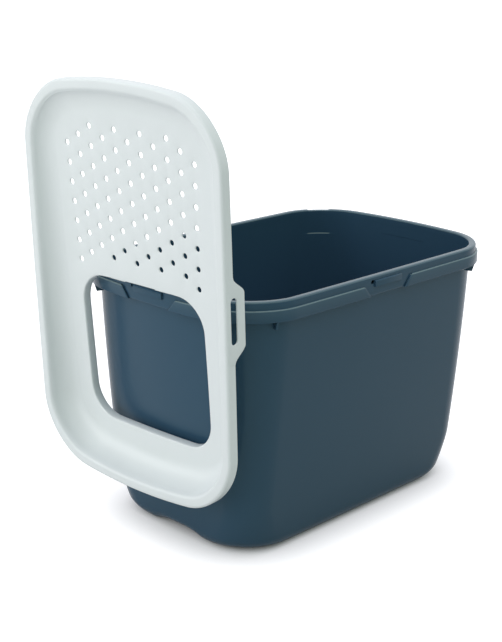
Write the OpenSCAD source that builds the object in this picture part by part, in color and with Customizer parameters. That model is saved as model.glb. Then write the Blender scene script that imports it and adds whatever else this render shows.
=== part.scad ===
// Top entry litter box: a deep moulded bin with its moulded lid taken off and hung on
// the front of the rim by two hooks. The lid's two side clips flex on its skirt.
// All sizes are in millimetres. X runs across, Y along, with the front at -Y, and Z up.
// The origin is the middle of the bin's flat underside.

/* [Bin] */
// Width over the rim
bin_w = 390; // [370:1:410]
// Length over the rim
bin_l = 588; // [560:1:620]
// Height to the top of the collar
bin_h = 394; // [340:1:440]
// Plan radius of the rim's corners
rim_r = 88; // [78:1:98]
// How far each short side bows out at its middle
end_bow = 21; // [14:0.5:25]
// How far each long side bows out at its middle
side_bow = 2; // [0.5:0.5:4]
// Wall of the bin
bin_wall = 2.6; // [2.3:0.1:3.2]
// Width of the flat underside
foot_w = 257; // [240:1:275]
// Length of the flat underside
foot_l = 446; // [425:1:465]
// Plan radius of the underside's corners
foot_r = 82; // [70:1:90]
// How far the underside's short sides bow out
foot_bow = 3; // [1:0.5:6]
// Radius where the walls turn under
heel_r = 24; // [18:1:30]
// Plan radius of the walls' corners, drawn on down to the ground
waist_r = 45; // [38:1:56]
// Height up to which the lower corners are rounder than that
waist_z = 76; // [60:1:90]
// How far the walls bulge out at half height
bulge = 2.4; // [0.5:0.1:4]
// Width of the finger arch under each short side
arch_w = 112; // [90:1:130]
// Rise of that arch
arch_rise = 8; // [6:0.5:10]
// How far the arch reaches in under the bin
arch_in = 26; // [20:1:34]

/* [Rim] */
// Height of the hollow collar above the shelf round it
collar_h = 11.5; // [9:0.5:14]
// Width of the hollow collar, from its outer face to the inside of the bin
collar_w = 11; // [9:0.5:13]
// Radius of the collar's outer upper edge
collar_r = 3; // [2:0.5:4]
// Thickness of the collar's top and outer wall, the shelf and the skirt
rim_wall = 2.4; // [2:0.1:2.8]
// Height of the skirt that hangs from the shelf
skirt_h = 17.5; // [14:0.5:21]
// Radius of the shelf's outer edge
shelf_r = 1.8; // [1:0.1:2.2]
// How far the collar's outer wall reaches below the shelf where the skirt has a gap
web_drop = 8.5; // [6:0.5:11]
// Thickness of the gussets that brace the skirt at the corners
gusset_t = 3; // [2:0.5:4]
// How far the gussets reach below the skirt
gusset_drop = 12; // [9:0.5:15]
// How far the gussets stand out from the tub at their lower end
gusset_out = 10; // [7:0.5:12]

/* [Catches] */
// How far a catch block stands out from the collar's face
catch_out = 2.8; // [2:0.1:3.2]
// Clearance of the catch block in the clip's slot, along and across
catch_gap = 1; // [0.6:0.1:1.6]
// Width of the pocket at one end of a catch block
catch_pocket = 8; // [4:0.5:10]
// Clearance of the clip in its gap in the rim's skirt
notch_gap = 1.5; // [1:0.1:3]

/* [Corner recess] */
// Width of the recess inside the far left corner
nook_w = 38; // [30:1:60]
// Height of the recess below the top of the collar
nook_h = 42; // [35:1:60]
// Place of the recess round that corner, in degrees
nook_at = 137; // [130:1:140]
// Depth of the recess in the wall
nook_d = 1.2; // [0.6:0.1:1.4]
// How much lower the collar is at the recess
nook_dip = 1.2; // [0.5:0.1:1.5]

/* [Lid] */
// Wall of the lid
lid_wall = 2.6; // [2.3:0.1:3]
// Depth of the lid's skirt below its lip
lid_skirt = 16; // [13:0.5:18]
// Radius of the lip's outer edge
lip_r = 4.5; // [3.5:0.5:5]
// Clearance of the closed lid on the rim, inside its skirt
lid_gap = 0.6; // [0.4:0.1:1]
// Width of the basin's sloping side in plan
slope_w = 29; // [24:1:36]
// Depth of the basin's floor below the lip, at the lid's middle
basin_depth = 30; // [26:1:34]
// Fall of the basin's floor towards the entry, in mm per mm
basin_fall = 0.04; // [0.02:0.005:0.06]

/* [Entry and perforations] */
// Distance of the entry's upper edge from the lid's middle
entry_top = 7.5; // [4:0.5:12]
// Land of floor left at each side of the entry
entry_side = 26; // [22:1:36]
// Land of floor left beyond the entry
entry_front = 31; // [26:1:40]
// Plan radius of the entry's corners
entry_r = 45; // [35:1:55]
// How far the entry's short edges bow out
entry_bow = 3; // [1:0.5:6]
// Depth of the flange round the entry, below the floor
flange_h = 11; // [8:0.5:13]
// Thickness of that flange
flange_t = 2.5; // [2:0.1:3]
// Diameter of a perforation
hole_d = 9; // [6:0.5:12]
// Distance between neighbouring perforations
hole_pitch = 28.3; // [24:0.1:30]
// Share by which the first row is wider than the last
hole_fan = 0.06; // [0:0.01:0.08]
// Distance of the last row from the entry
hole_land = 17.5; // [14:0.5:20]
// Land of floor left beyond the first row
hole_end = 21; // [16:0.5:26]

/* [Side clips] */
// Length of a clip at its full depth
clip_l = 70; // [66:1:90]
// Length of the flare at each end of a clip
clip_flare = 24; // [16:1:28]
// Depth of a clip below the lid's lip
clip_depth = 36; // [33:0.5:40]
// Depth below the lip where a clip starts to flex
clip_root = 6; // [5.5:0.1:7]
// Length of the slot in a clip
slot_l = 64; // [50:1:66]
// Width of that slot
slot_w = 12; // [10:0.5:13]
// Depth of the slot's near edge below the lip
slot_at = 10; // [9:0.5:12]

/* [Hanging] */
// Lean of the hung lid from upright, top outwards, in degrees
lean = 2.5; // [1:0.1:3]
// Turn of the hung lid about the vertical, as in the photograph, in degrees
yaw = 1.9; // [0:0.1:2]
// Distance of the hung lid's lip in front of the rim
hung_out = 42; // [41:0.5:50]
// Gap between the hooks and the collar that they rest on
rest_gap = 0.3; // [0.2:0.1:0.5]
// Distance of each hook's near edge from the middle
hook_at = 30; // [20:1:40]
// Width of a hook
hook_w = 30; // [20:1:40]
// How far the hooks' underside lies below the entry's upper edge
hook_low = 2; // [0.5:0.5:2.5]
// Thickness of a hook
hook_t = 3.2; // [2.6:0.1:4]
// How far the hooks reach down behind the collar
hook_drop = 9; // [6:0.5:10]
// Clearance of the hooks behind the collar
hook_gap = 1.6; // [1.5:0.1:2.5]

/* [Hidden] */
$fn = 48;

// Segments of each corner, each short side and each long side of an outline
corner_n = 8;
short_n = 12;
long_n = 4;

// Heights and sizes that follow from the driving ones
shelf_z = bin_h - collar_h;
skirt_z = shelf_z - skirt_h;
shelf_w = lid_wall + lid_gap;
rim_in = shelf_w + collar_w;
tub_in = rim_in - bin_wall;
tub_w = bin_w - 2 * tub_in;
tub_l = bin_l - 2 * tub_in;
draft = atan((tub_w / 2 - foot_w / 2 - heel_r) / (shelf_z - heel_r));
heel_top = heel_r * (1 - sin(draft));
inner_r = 2.5;
overlap = 0.8;

lip_w = rim_in + lid_wall;

floor_w = bin_w - 2 * (lip_w + slope_w);
floor_l = bin_l - 2 * (lip_w + slope_w);
floor_r = rim_r - lip_w - slope_w;
fall_angle = atan(basin_fall);
entry_w = floor_w - 2 * entry_side;
entry_end = -(floor_l / 2 - entry_front);
entry_l = entry_top - entry_end;
entry_mid = (entry_top + entry_end) / 2;
row_step = hole_pitch / 2;
column_step = hole_pitch * sqrt(3) / 2;
last_row = entry_top + hole_land;
row_count = floor((floor_l / 2 - hole_end - last_row) / row_step) + 1;
clip_half = clip_l / 2 + clip_flare;

// Height of the closed lid's lip, which sets the catch blocks' height
closed_z = shelf_z + 0.5 + lid_skirt;
catch_top = closed_z - slot_at - catch_gap;
catch_l = slot_l - 4 * catch_gap;
catch_h = slot_w - 2 * catch_gap;

// Place of the hung lid: its hooks rest on the collar
flange_tip = basin_depth - basin_fall * entry_top + lid_wall + flange_h;
hung_z = bin_h + rest_gap + hook_low - (entry_top + basin_fall * (lid_wall + flange_h)) * cos(lean)
    - flange_tip * sin(lean);
hung_y = -(bin_l / 2 + hung_out);

// A point of a rounded rectangle moved so that the sides bow
function bowed(p, w, l, be, bs) = [
    p[0] * (1 - bs / (w / 2) * pow(p[1] / (l / 2), 2)),
    p[1] * (1 - be / (l / 2) * pow(p[0] / (w / 2), 2))
];

// Points of one rounded corner, from the angle a
function corner(x, y, r, a) = [for (i = [0:corner_n])
    [x + r * cos(a + 90 * i / corner_n), y + r * sin(a + 90 * i / corner_n)]];

// Points between two ends, without the ends
function between(p, q, n) = [for (i = [1:n - 1]) p + (q - p) * i / n];

// Outline of a rounded rectangle with bowed sides, counter-clockwise
function outline(w, l, r, be, bs) =
    let (x = w / 2 - r, y = l / 2 - r)
    let (a = corner(x, y, r, 0), b = corner(-x, y, r, 90),
         c = corner(-x, -y, r, 180), d = corner(x, -y, r, 270))
    [for (p = concat(a, between(a[corner_n], b[0], short_n),
                     b, between(b[corner_n], c[0], long_n),
                     c, between(c[corner_n], d[0], short_n),
                     d, between(d[corner_n], a[0], long_n)))
        bowed(p, w, l, be, bs)];

// Outline of the rim, moved in by a distance
function rim_outline(inset) =
    outline(bin_w - 2 * inset, bin_l - 2 * inset, rim_r - inset, end_bow, side_bow);

// Y of the front side of that outline at a given X
function front_y(x, inset) =
    -(bin_l / 2 - inset) + end_bow * pow(x / (bin_w / 2 - inset), 2);

// A solid through a list of rings with the same number of points. A capped one closes
// its first and last ring, and an uncapped one joins its last ring to its first.
module loft(rings, capped) {
    n = len(rings[0]);
    m = len(rings);
    last = capped ? m - 2 : m - 1;
    sides = [for (j = [0:last]) for (k = [0:n - 1])
        let (a = j * n + k, b = j * n + (k + 1) % n,
             c = ((j + 1) % m) * n + (k + 1) % n, d = ((j + 1) % m) * n + k)
        each [[a, c, b], [a, d, c]]];
    caps = capped ? [[for (k = [0:n - 1]) k], [for (k = [n - 1:-1:0]) (m - 1) * n + k]] : [];
    polyhedron([for (r = rings) each r], concat(sides, caps), convexity = 10);
}

// Height of the finger arch over a point of the underside
function arch_lift(p, weight) =
    let (s = abs(p[0]) / (arch_w / 2))
    (s < 1 && abs(p[1]) > foot_l / 2 - arch_in - 1)
        ? arch_rise * weight * pow(1 - pow(s, 4), 2) : 0;

// Plan radius of the tub's corners at the height z
function tub_r(z) = waist_r + (rim_r - tub_in - waist_r) * z / shelf_z
    + (foot_r - waist_r) * pow(max(1 - z / waist_z, 0), 1.4);

// A ring of the tub at the height z, the share of the way up its wall, moved in by thin
function tub_ring(grow, z, share, thin, weight) =
    let (out = grow - share * heel_r * cos(draft) + 4 * bulge * share * (1 - share) - thin)
    let (w = foot_w + share * (tub_w - foot_w) + 2 * out)
    let (l = foot_l + share * (tub_l - foot_l) + 2 * out)
    [for (p = outline(w, l, tub_r(z) - thin, foot_bow + share * (end_bow - foot_bow),
                      side_bow * (1 + share) / 2))
        [p[0], p[1], z + arch_lift(p, weight)]];

// A ring of the heel, at the angle a from straight down, on a wall moved in by thin
function heel_ring(a, thin) =
    tub_ring((heel_r - thin) * sin(a), heel_r - (heel_r - thin) * cos(a), 0, 0,
        pow(cos(a), 0.7));

// A ring of the wall at the height z, moved in by thin
function wall_ring(z, thin) =
    tub_ring(heel_r * cos(draft), z, (z - heel_top) / (shelf_z - heel_top), thin, 0);

// Heights of the wall's rings, from the heel up
wall_zs = concat([heel_top], between(heel_top, waist_z, 4), [waist_z],
    between(waist_z, shelf_z, 4), [shelf_z]);

// A ring of the rim, at a distance in from its edge and a height
function rim_ring(inset, z) = [for (p = rim_outline(inset)) [p[0], p[1], z]];

// A rounded outer edge between an upright face at inset and a top at z
function edge_profile(inset, z, r) =
    [for (a = [0, 30, 60, 90]) [inset + r * (1 - cos(a)), z - r * (1 - sin(a))]];

// Section of the rim, from the tub's outer face under the collar's top, down its outer
// wall, under the shelf, round the skirt and over the collar to the inside of the bin
rim_profile = concat(
    [[tub_in, bin_h - rim_wall], [shelf_w + rim_wall, bin_h - rim_wall],
     [shelf_w + rim_wall, shelf_z - rim_wall], [rim_wall, shelf_z - rim_wall],
     [rim_wall, skirt_z], [0, skirt_z]],
    edge_profile(0, shelf_z, shelf_r),
    [[shelf_w, shelf_z]],
    edge_profile(shelf_w, bin_h, collar_r),
    [for (a = [0, 45, 90])
        [rim_in - inner_r * (1 - sin(a)), bin_h - inner_r * (1 - cos(a))]]
);

// Tub and rim of the bin in one skin: floor, heel, drafted wall, skirt and hollow collar
module shell() {
    heel_angles = [0, 18, 36, 54, 70];
    n = len(heel_angles) - 1;
    m = len(wall_zs) - 1;
    loft(concat(
        [tub_ring(-arch_in, 0, 0, 0, 0)],
        [for (a = heel_angles) heel_ring(a, 0)],
        [for (z = wall_zs) wall_ring(z, 0)],
        [for (q = rim_profile) rim_ring(q[0], q[1])],
        [for (i = [m:-1:1]) wall_ring(wall_zs[i], bin_wall)],
        [heel_ring(90 - draft, bin_wall)],
        [for (i = [n:-1:0]) heel_ring(heel_angles[i], bin_wall)],
        [tub_ring(-arch_in, bin_wall, 0, 0, 0)]
    ), true);
}

// Upright band that follows the rim between two distances from its edge
module rim_band(outer, inner, z, h) {
    translate([0, 0, z]) linear_extrude(h) difference() {
        polygon(rim_outline(outer));
        polygon(rim_outline(inner));
    }
}

// Outline of a clip in its own plane, along the lid's side and down from its lip,
// grown by a clearance
function clip_outline(grow) =
    let (n = 8, half = clip_half + grow, drop = clip_depth - lid_skirt)
    concat(
        [for (i = [0:n]) [half - clip_flare * i / n,
            -lid_skirt - drop * (1 - cos(180 * i / n)) / 2 - (i == n ? grow : 0)]],
        [for (i = [n:-1:0]) [-half + clip_flare * i / n,
            -lid_skirt - drop * (1 - cos(180 * i / n)) / 2 - (i == n ? grow : 0)]]
    );

// Gap in the rim's shelf and skirt that a clip drops into, grown by a distance
module clip_notch(grow) {
    wide = clip_half + notch_gap + grow;
    rotate([90, 0, 90]) linear_extrude(bin_l)
        translate([0, closed_z]) polygon(concat(clip_outline(notch_gap + grow),
            [[-wide, 0], [wide, 0]]));
}

// Gaps at the middles of the four sides
module notches(grow) {
    for (a = [0:90:270]) rotate(a) clip_notch(grow);
}

// Catch block with bevelled edges, seen along X from the bin's middle
module catch_block(reach) {
    lead = catch_out / 2;
    translate([reach, catch_l / 2, catch_top - catch_h]) rotate([90, 0, 0])
        linear_extrude(catch_l)
            polygon([[-overlap - 1, 0], [0, 0], [catch_out, lead / 2],
                     [catch_out, catch_h - lead], [catch_out - lead, catch_h],
                     [-overlap, catch_h]]);
}

// Pocket beside a catch block, through the collar's outer wall
module pocket_cut(reach) {
    deep = rim_wall + 0.6;
    translate([reach - deep, -catch_l / 2 - catch_pocket, catch_top + 1 - catch_pocket])
        cube([deep + 1, catch_pocket, catch_pocket]);
}

// Places what is drawn along +X at the middle of each of the four sides
module on_sides() {
    for (a = [0, 180]) rotate(a) children(0);
    for (a = [90, 270]) rotate(a) children(1);
}

// One gusset at the angle a on the corner of the first quadrant
module gusset(a) {
    corner_at = bowed([bin_w / 2 - rim_r + rim_r * cos(a), bin_l / 2 - rim_r + rim_r * sin(a)],
        bin_w, bin_l, end_bow, side_bow);
    low = skirt_z - gusset_drop;
    top = shelf_z - rim_wall / 2;
    reach = tub_in + overlap;
    low_reach = reach + (shelf_z - low) * tan(draft);
    translate([corner_at[0], corner_at[1], 0]) rotate(a) rotate([90, 0, 0])
        translate([0, 0, -gusset_t / 2]) linear_extrude(gusset_t)
            polygon([[-low_reach, low], [-low_reach + gusset_out, low],
                     [-rim_wall / 2, skirt_z + 0.5], [-rim_wall / 2, top], [-reach, top]]);
}

// Gussets at all four corners
module gussets() {
    for (mx = [0, 1], my = [0, 1]) mirror([mx, 0, 0]) mirror([0, my, 0])
        for (a = [22.5, 67.5]) gusset(a);
}

// Recess inside the far left corner, following the wall, with a dip in the collar above
module nook() {
    a = nook_at;
    thin = bin_wall - nook_d;
    at = bowed([-(bin_w / 2 - rim_r) + rim_r * cos(a), bin_l / 2 - rim_r + rim_r * sin(a)],
        bin_w, bin_l, end_bow, side_bow);
    intersection() {
        translate([at[0], at[1], bin_h - nook_h]) rotate(a)
            translate([-rim_r, -nook_w / 2, 0]) cube([rim_r, nook_w, nook_h - rim_wall]);
        loft([wall_ring(bin_h - nook_h - 1, thin), wall_ring(shelf_z, thin),
              rim_ring(rim_in - nook_d, bin_h + 1)], true);
    }
    translate([at[0], at[1], bin_h - nook_dip]) rotate(a)
        translate([-rim_r, -nook_w / 2, 0]) cube([rim_r, nook_w, 2 * nook_dip]);
}

// Skirt ends beside the gaps, and the collar's outer wall in the gaps, which goes on
// down and then in to the tub
module gap_walls() {
    top = shelf_z - rim_wall / 2;
    low = skirt_z - 2;
    face = shelf_w + rim_wall;
    intersection() {
        rim_band(rim_wall / 2, tub_in + 2, skirt_z, top - skirt_z);
        difference() {
            notches(rim_wall);
            notches(0);
        }
    }
    intersection() {
        loft([for (q = [[tub_in + 1.6, low], [shelf_w, shelf_z - web_drop], [shelf_w, top],
                        [face, top], [face, shelf_z - web_drop + 1], [tub_in + 2.8, low + 1]])
            rim_ring(q[0], q[1])], false);
        notches(rim_wall / 2);
    }
}

// The bin: one moulding
module bin() {
    side_at = bin_w / 2 - shelf_w;
    end_at = bin_l / 2 - shelf_w;
    color([0.22, 0.31, 0.36]) difference() {
        union() {
            difference() {
                shell();
                difference() {
                    notches(0);
                    linear_extrude(bin_h + 1) polygon(rim_outline(shelf_w));
                }
                on_sides() {
                    pocket_cut(side_at);
                    pocket_cut(end_at);
                }
            }
            gap_walls();
            on_sides() {
                catch_block(side_at);
                catch_block(end_at);
            }
            gussets();
        }
        nook();
    }
}

// Height of the basin's floor in the lid's own frame, its lip at zero
function floor_z(y) = -basin_depth + basin_fall * y;

// A ring of the lid, moved in by inset, at the share s of the way down to the floor
function lid_ring(inset, s, dz) =
    [for (p = rim_outline(inset)) [p[0], p[1], s * floor_z(p[1]) + dz]];

// A ring of the basin's slope, at the angle a of its quarter ellipse, on the upper
// skin or, with a thickness, on the lower one
function slope_ring(a, t) =
    lid_ring(lip_w + slope_w * (1 - cos(a)) - t * cos(a), sin(a), -t * sin(a));

// Lid without its openings, in its own frame: lip at Z = 0, skirt downwards
module lid_skin() {
    slope_angles = [12, 26, 42, 58, 74, 90];
    steps = len(slope_angles) - 1;
    t = lid_wall;
    loft(concat(
        [for (i = [steps:-1:0]) slope_ring(slope_angles[i], t)],
        [lid_ring(lip_w - t - 1, 0, -t), lid_ring(lip_r, 0, -t),
         lid_ring(t, 0, -lip_r), lid_ring(t, 0, -lid_skirt)],
        [lid_ring(0, 0, -lid_skirt)],
        [for (a = [0, 30, 60, 90]) lid_ring(lip_r * (1 - cos(a)), 0, -lip_r * (1 - sin(a)))],
        [lid_ring(lip_w - 4, 0, 0), lid_ring(lip_w - 1, 0, -1.2)],
        [for (a = slope_angles) slope_ring(a, 0)]
    ), true);
}

// Puts what is drawn flat on the basin's sloping floor, with its origin at y
module on_floor(y) {
    translate([0, y, floor_z(y)]) rotate([fall_angle, 0, 0]) children();
}

// Outline of the entry, grown by a distance
module entry_shape(grow) {
    polygon(outline(entry_w + 2 * grow, entry_l + 2 * grow, entry_r + grow, entry_bow, 1));
}

// Columns that have a hole in the row i, counted from the first row
function row_columns(i) =
    i == 0 ? [-3:2:3] :
    i == row_count - 1 ? [-5:10:5] :
    i % 2 == 0 ? [-5:2:5] : [-4:2:4];

// Bores of all the perforations
module perforations() {
    for (i = [0:row_count - 1]) {
        y = last_row + (row_count - 1 - i) * row_step;
        fan = 1 + hole_fan * (0.5 - i / (row_count - 1));
        for (c = row_columns(i))
            on_floor(y) translate([c * column_step * fan, 0, -2 * lid_wall])
                cylinder(d = hole_d, h = 4 * lid_wall, $fn = 24);
    }
}

// One hook, on the side s, upright and before the lid's yaw
module hook(s) {
    far = hook_at + hook_w;
    y_in = front_y(far, rim_in) + hook_gap + far * sin(yaw);
    y_out = hung_y + flange_tip - flange_h - lid_wall / 2;
    z = bin_h + rest_gap;
    translate([s > 0 ? hook_at : -far, 0, 0]) {
        translate([0, y_out, z]) cube([hook_w, y_in + hook_t - y_out, hook_t]);
        translate([0, y_in, z - hook_drop - rest_gap])
            cube([hook_w, hook_t, hook_drop + rest_gap + hook_t / 2]);
    }
}

// Turns what is drawn in the bin's frame about the vertical through the hung lid
module yawed() {
    translate([0, hung_y, 0]) rotate(yaw) translate([0, -hung_y, 0]) children();
}

// Puts what is drawn in the lid's own frame where the hung lid is
module hung() {
    yawed() translate([0, hung_y, hung_z]) rotate([90 + lean, 0, 0]) children();
}

// The lid: one moulding but for the flexing clips
module lid() {
    color([0.87, 0.89, 0.89]) union() {
        hung() difference() {
            union() {
                lid_skin();
                on_floor(entry_mid) translate([0, 0, -lid_wall - flange_h])
                    linear_extrude(flange_h + lid_wall / 2) entry_shape(flange_t);
            }
            on_floor(entry_mid) translate([0, 0, -2 * (lid_wall + flange_h)])
                linear_extrude(4 * (lid_wall + flange_h)) entry_shape(0);
            perforations();
            for (s = [-1, 1])
                translate([s * (bin_w / 2 - lid_wall / 2), 0, -clip_root - lid_skirt / 2])
                    cube([2 * lid_wall, 2 * clip_half, lid_skirt], center = true);
        }
        yawed() for (s = [-1, 1]) hook(s);
    }
}

// A clip on the +X side, in the lid's own frame
module clip() {
    end = slot_l / 2 - slot_w / 2;
    translate([bin_w / 2 - lid_wall, 0, 0]) rotate([90, 0, 90]) linear_extrude(lid_wall)
        difference() {
            polygon(concat(clip_outline(0), [[-clip_half, -clip_root], [clip_half, -clip_root]]));
            translate([0, -slot_at - slot_w / 2]) {
                square([2 * end, slot_w], center = true);
                for (s = [-1, 1]) translate([s * end, 0]) circle(d = slot_w, $fn = 32);
            }
        }
}

module right_clip() {
    color([0.84, 0.88, 0.84]) hung() clip();
}

module left_clip() {
    color([0.84, 0.88, 0.84]) hung() mirror([1, 0, 0]) clip();
}

bin();
lid();
left_clip();
right_clip();
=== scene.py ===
"""Looks of a top entry litter box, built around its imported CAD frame.

The bin and its lid are two mouldings. Their sizes repeat the part's source and are in
millimetres here. A piece's mesh is turned into metres, in the frame's own axes, when
it is made, so every finished object sits at the origin.
"""

import logging
import math
from dataclasses import dataclass, field, replace
from enum import Enum
from typing import Iterable, Sequence

import bpy
import bmesh
from mathutils import Matrix, Vector
from mathutils.geometry import delaunay_2d_cdt

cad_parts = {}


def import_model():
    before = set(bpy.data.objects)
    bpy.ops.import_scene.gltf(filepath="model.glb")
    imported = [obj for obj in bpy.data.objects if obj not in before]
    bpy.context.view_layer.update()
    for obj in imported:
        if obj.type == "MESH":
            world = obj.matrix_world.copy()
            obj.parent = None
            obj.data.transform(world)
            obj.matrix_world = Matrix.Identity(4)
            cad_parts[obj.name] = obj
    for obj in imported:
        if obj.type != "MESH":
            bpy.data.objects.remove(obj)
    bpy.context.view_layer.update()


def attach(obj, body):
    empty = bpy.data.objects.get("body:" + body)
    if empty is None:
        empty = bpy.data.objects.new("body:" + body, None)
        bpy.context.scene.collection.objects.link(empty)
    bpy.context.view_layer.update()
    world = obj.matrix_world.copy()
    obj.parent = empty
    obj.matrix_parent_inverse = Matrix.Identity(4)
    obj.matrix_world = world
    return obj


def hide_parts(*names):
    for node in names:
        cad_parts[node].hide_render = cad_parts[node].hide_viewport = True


LOG = logging.getLogger("litter_box")
MM = 0.001
PHOTO_WIDTH = 502
# Names the point attribute that masks the painted highlights: lighter colour laid along the bin's
# rim edges and the recess's ledge.
EDGE_ATTRIBUTE = "painted_edge_highlight"
SHARP_FROM = 32.0  # Edges that bend more than this many degrees are drawn sharp.
MERGE = 0.005  # Points closer than this, in millimetres, are joined.
LEAST_MITRE = 0.35  # Limits how far an offset corner runs out.
EDGE_DEGREES = (0, 30, 60, 90)
# The signs of X and Y in the four quadrants, counter-clockwise.
QUADRANTS = ((1, 1), (-1, 1), (-1, -1), (1, -1))
# Takes what is drawn in X and Y, and thick along Z, to Y and Z, and thick along X.
UPRIGHT = Matrix(((0, 0, 1, 0), (1, 0, 0, 0), (0, 1, 0, 0), (0, 0, 0, 1)))

Point2 = tuple[float, float]
Point3 = tuple[float, float, float]


class Body(Enum):
    """The CAD bodies that pieces ride on."""

    BIN = "bin"
    LID = "lid"
    LEFT_CLIP = "left_clip"
    RIGHT_CLIP = "right_clip"


class Slot(Enum):
    """The record's material slots."""

    BIN = "bin_plastic"
    LID = "lid_plastic"


def lerp(a: float, b: float, t: float) -> float:
    """Returns the value at the share t of the way from a to b."""
    return a + (b - a) * t


def smooth_step(t: float) -> float:
    """Returns t eased at both ends, and kept from 0 to 1."""
    t = min(max(t, 0.0), 1.0)
    return t * t * (3 - 2 * t)


def arc(centre: Point2, radius: float, start: float, end: float, count: int) -> list[Point2]:
    """Points of an arc.

    Args:
        centre: The arc's centre.
        radius: Its radius.
        start: The angle of its first point, in degrees.
        end: The angle of its last point, in degrees.
        count: The number of steps between them.

    Returns:
        The points, both ends included.
    """
    angles = [math.radians(lerp(start, end, i / count)) for i in range(count + 1)]
    return [(centre[0] + radius * math.cos(a), centre[1] + radius * math.sin(a)) for a in angles]


def rounding(radius: float, degrees: Iterable[float]) -> list[Point2]:
    """Returns how far points of a rounded edge lie in from its two faces.

    A point at 0 degrees is on the first face, and one at 90 on the second.
    """
    angles = [math.radians(d) for d in degrees]
    return [(radius * (1 - math.cos(a)), radius * (1 - math.sin(a))) for a in angles]


@dataclass(frozen=True)
class Outline:
    """A rounded rectangle whose sides bow, as the rim and the lid have.

    The sides keep their full distance at their middles and draw in at the corners.
    """

    width: float
    length: float
    radius: float
    end_bow: float
    side_bow: float
    corner_steps: int = 40
    short_steps: int = 44
    long_steps: int = 56

    def inset(self, by: float) -> "Outline":
        """Returns the same outline moved in by a distance."""
        return replace(self, width=self.width - 2 * by, length=self.length - 2 * by,
                       radius=max(self.radius - by, 0.5))

    def bowed(self, x: float, y: float) -> Point2:
        """Returns the place of a point of the plain rounded rectangle after the bow."""
        a, b = self.width / 2, self.length / 2
        return (x * (1 - self.side_bow / a * (y / b) ** 2),
                y * (1 - self.end_bow / b * (x / a) ** 2))

    def corner_point(self, angle: float) -> Point2:
        """Returns the point of a corner that faces at an angle, in radians."""
        c, s = math.cos(angle), math.sin(angle)
        return self.bowed(math.copysign(self.width / 2 - self.radius, c) + self.radius * c,
                          math.copysign(self.length / 2 - self.radius, s) + self.radius * s)

    def points(self, side: Sequence[float] = ()) -> list[Point2]:
        """The outline, counter-clockwise, starting on the +X side.

        Args:
            side: Y of the points between the corners of the -X side, from +Y to -Y, where
                they aren't evenly spaced.

        Returns:
            The points.
        """
        x, y = self.width / 2 - self.radius, self.length / 2 - self.radius
        corners = [arc((sx * x, sy * y), self.radius, 90 * i, 90 * (i + 1), self.corner_steps)
                   for i, (sx, sy) in enumerate(QUADRANTS)]
        plain: list[Point2] = []
        for i, corner in enumerate(corners):
            plain += corner
            a, b = corner[-1], corners[(i + 1) % 4][0]
            if side and i % 2:
                plain += [(a[0], v if i == 1 else -v) for v in side]
                continue
            steps = self.long_steps if i % 2 else self.short_steps
            plain += [(lerp(a[0], b[0], k / steps), lerp(a[1], b[1], k / steps))
                      for k in range(1, steps)]
        return [self.bowed(*p) for p in plain]

    def quarter(self, side_start: float, end_start: float) -> list[Point2]:
        """The outline's first quadrant, from one place on the +X side to one on the +Y side.

        Args:
            side_start: The Y where it starts on the +X side.
            end_start: The X where it ends on the +Y side.

        Returns:
            The points, both ends included.
        """
        x, y, r = self.width / 2 - self.radius, self.length / 2 - self.radius, self.radius
        side_steps, end_steps = 36, 22
        side = [(x + r, lerp(side_start, y, k / side_steps)) for k in range(side_steps)]
        corner = arc((x, y), r, 0, 90, self.corner_steps)
        end = [(lerp(x, end_start, k / end_steps), y + r) for k in range(1, end_steps + 1)]
        return [self.bowed(*p) for p in side + corner + end]


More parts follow.
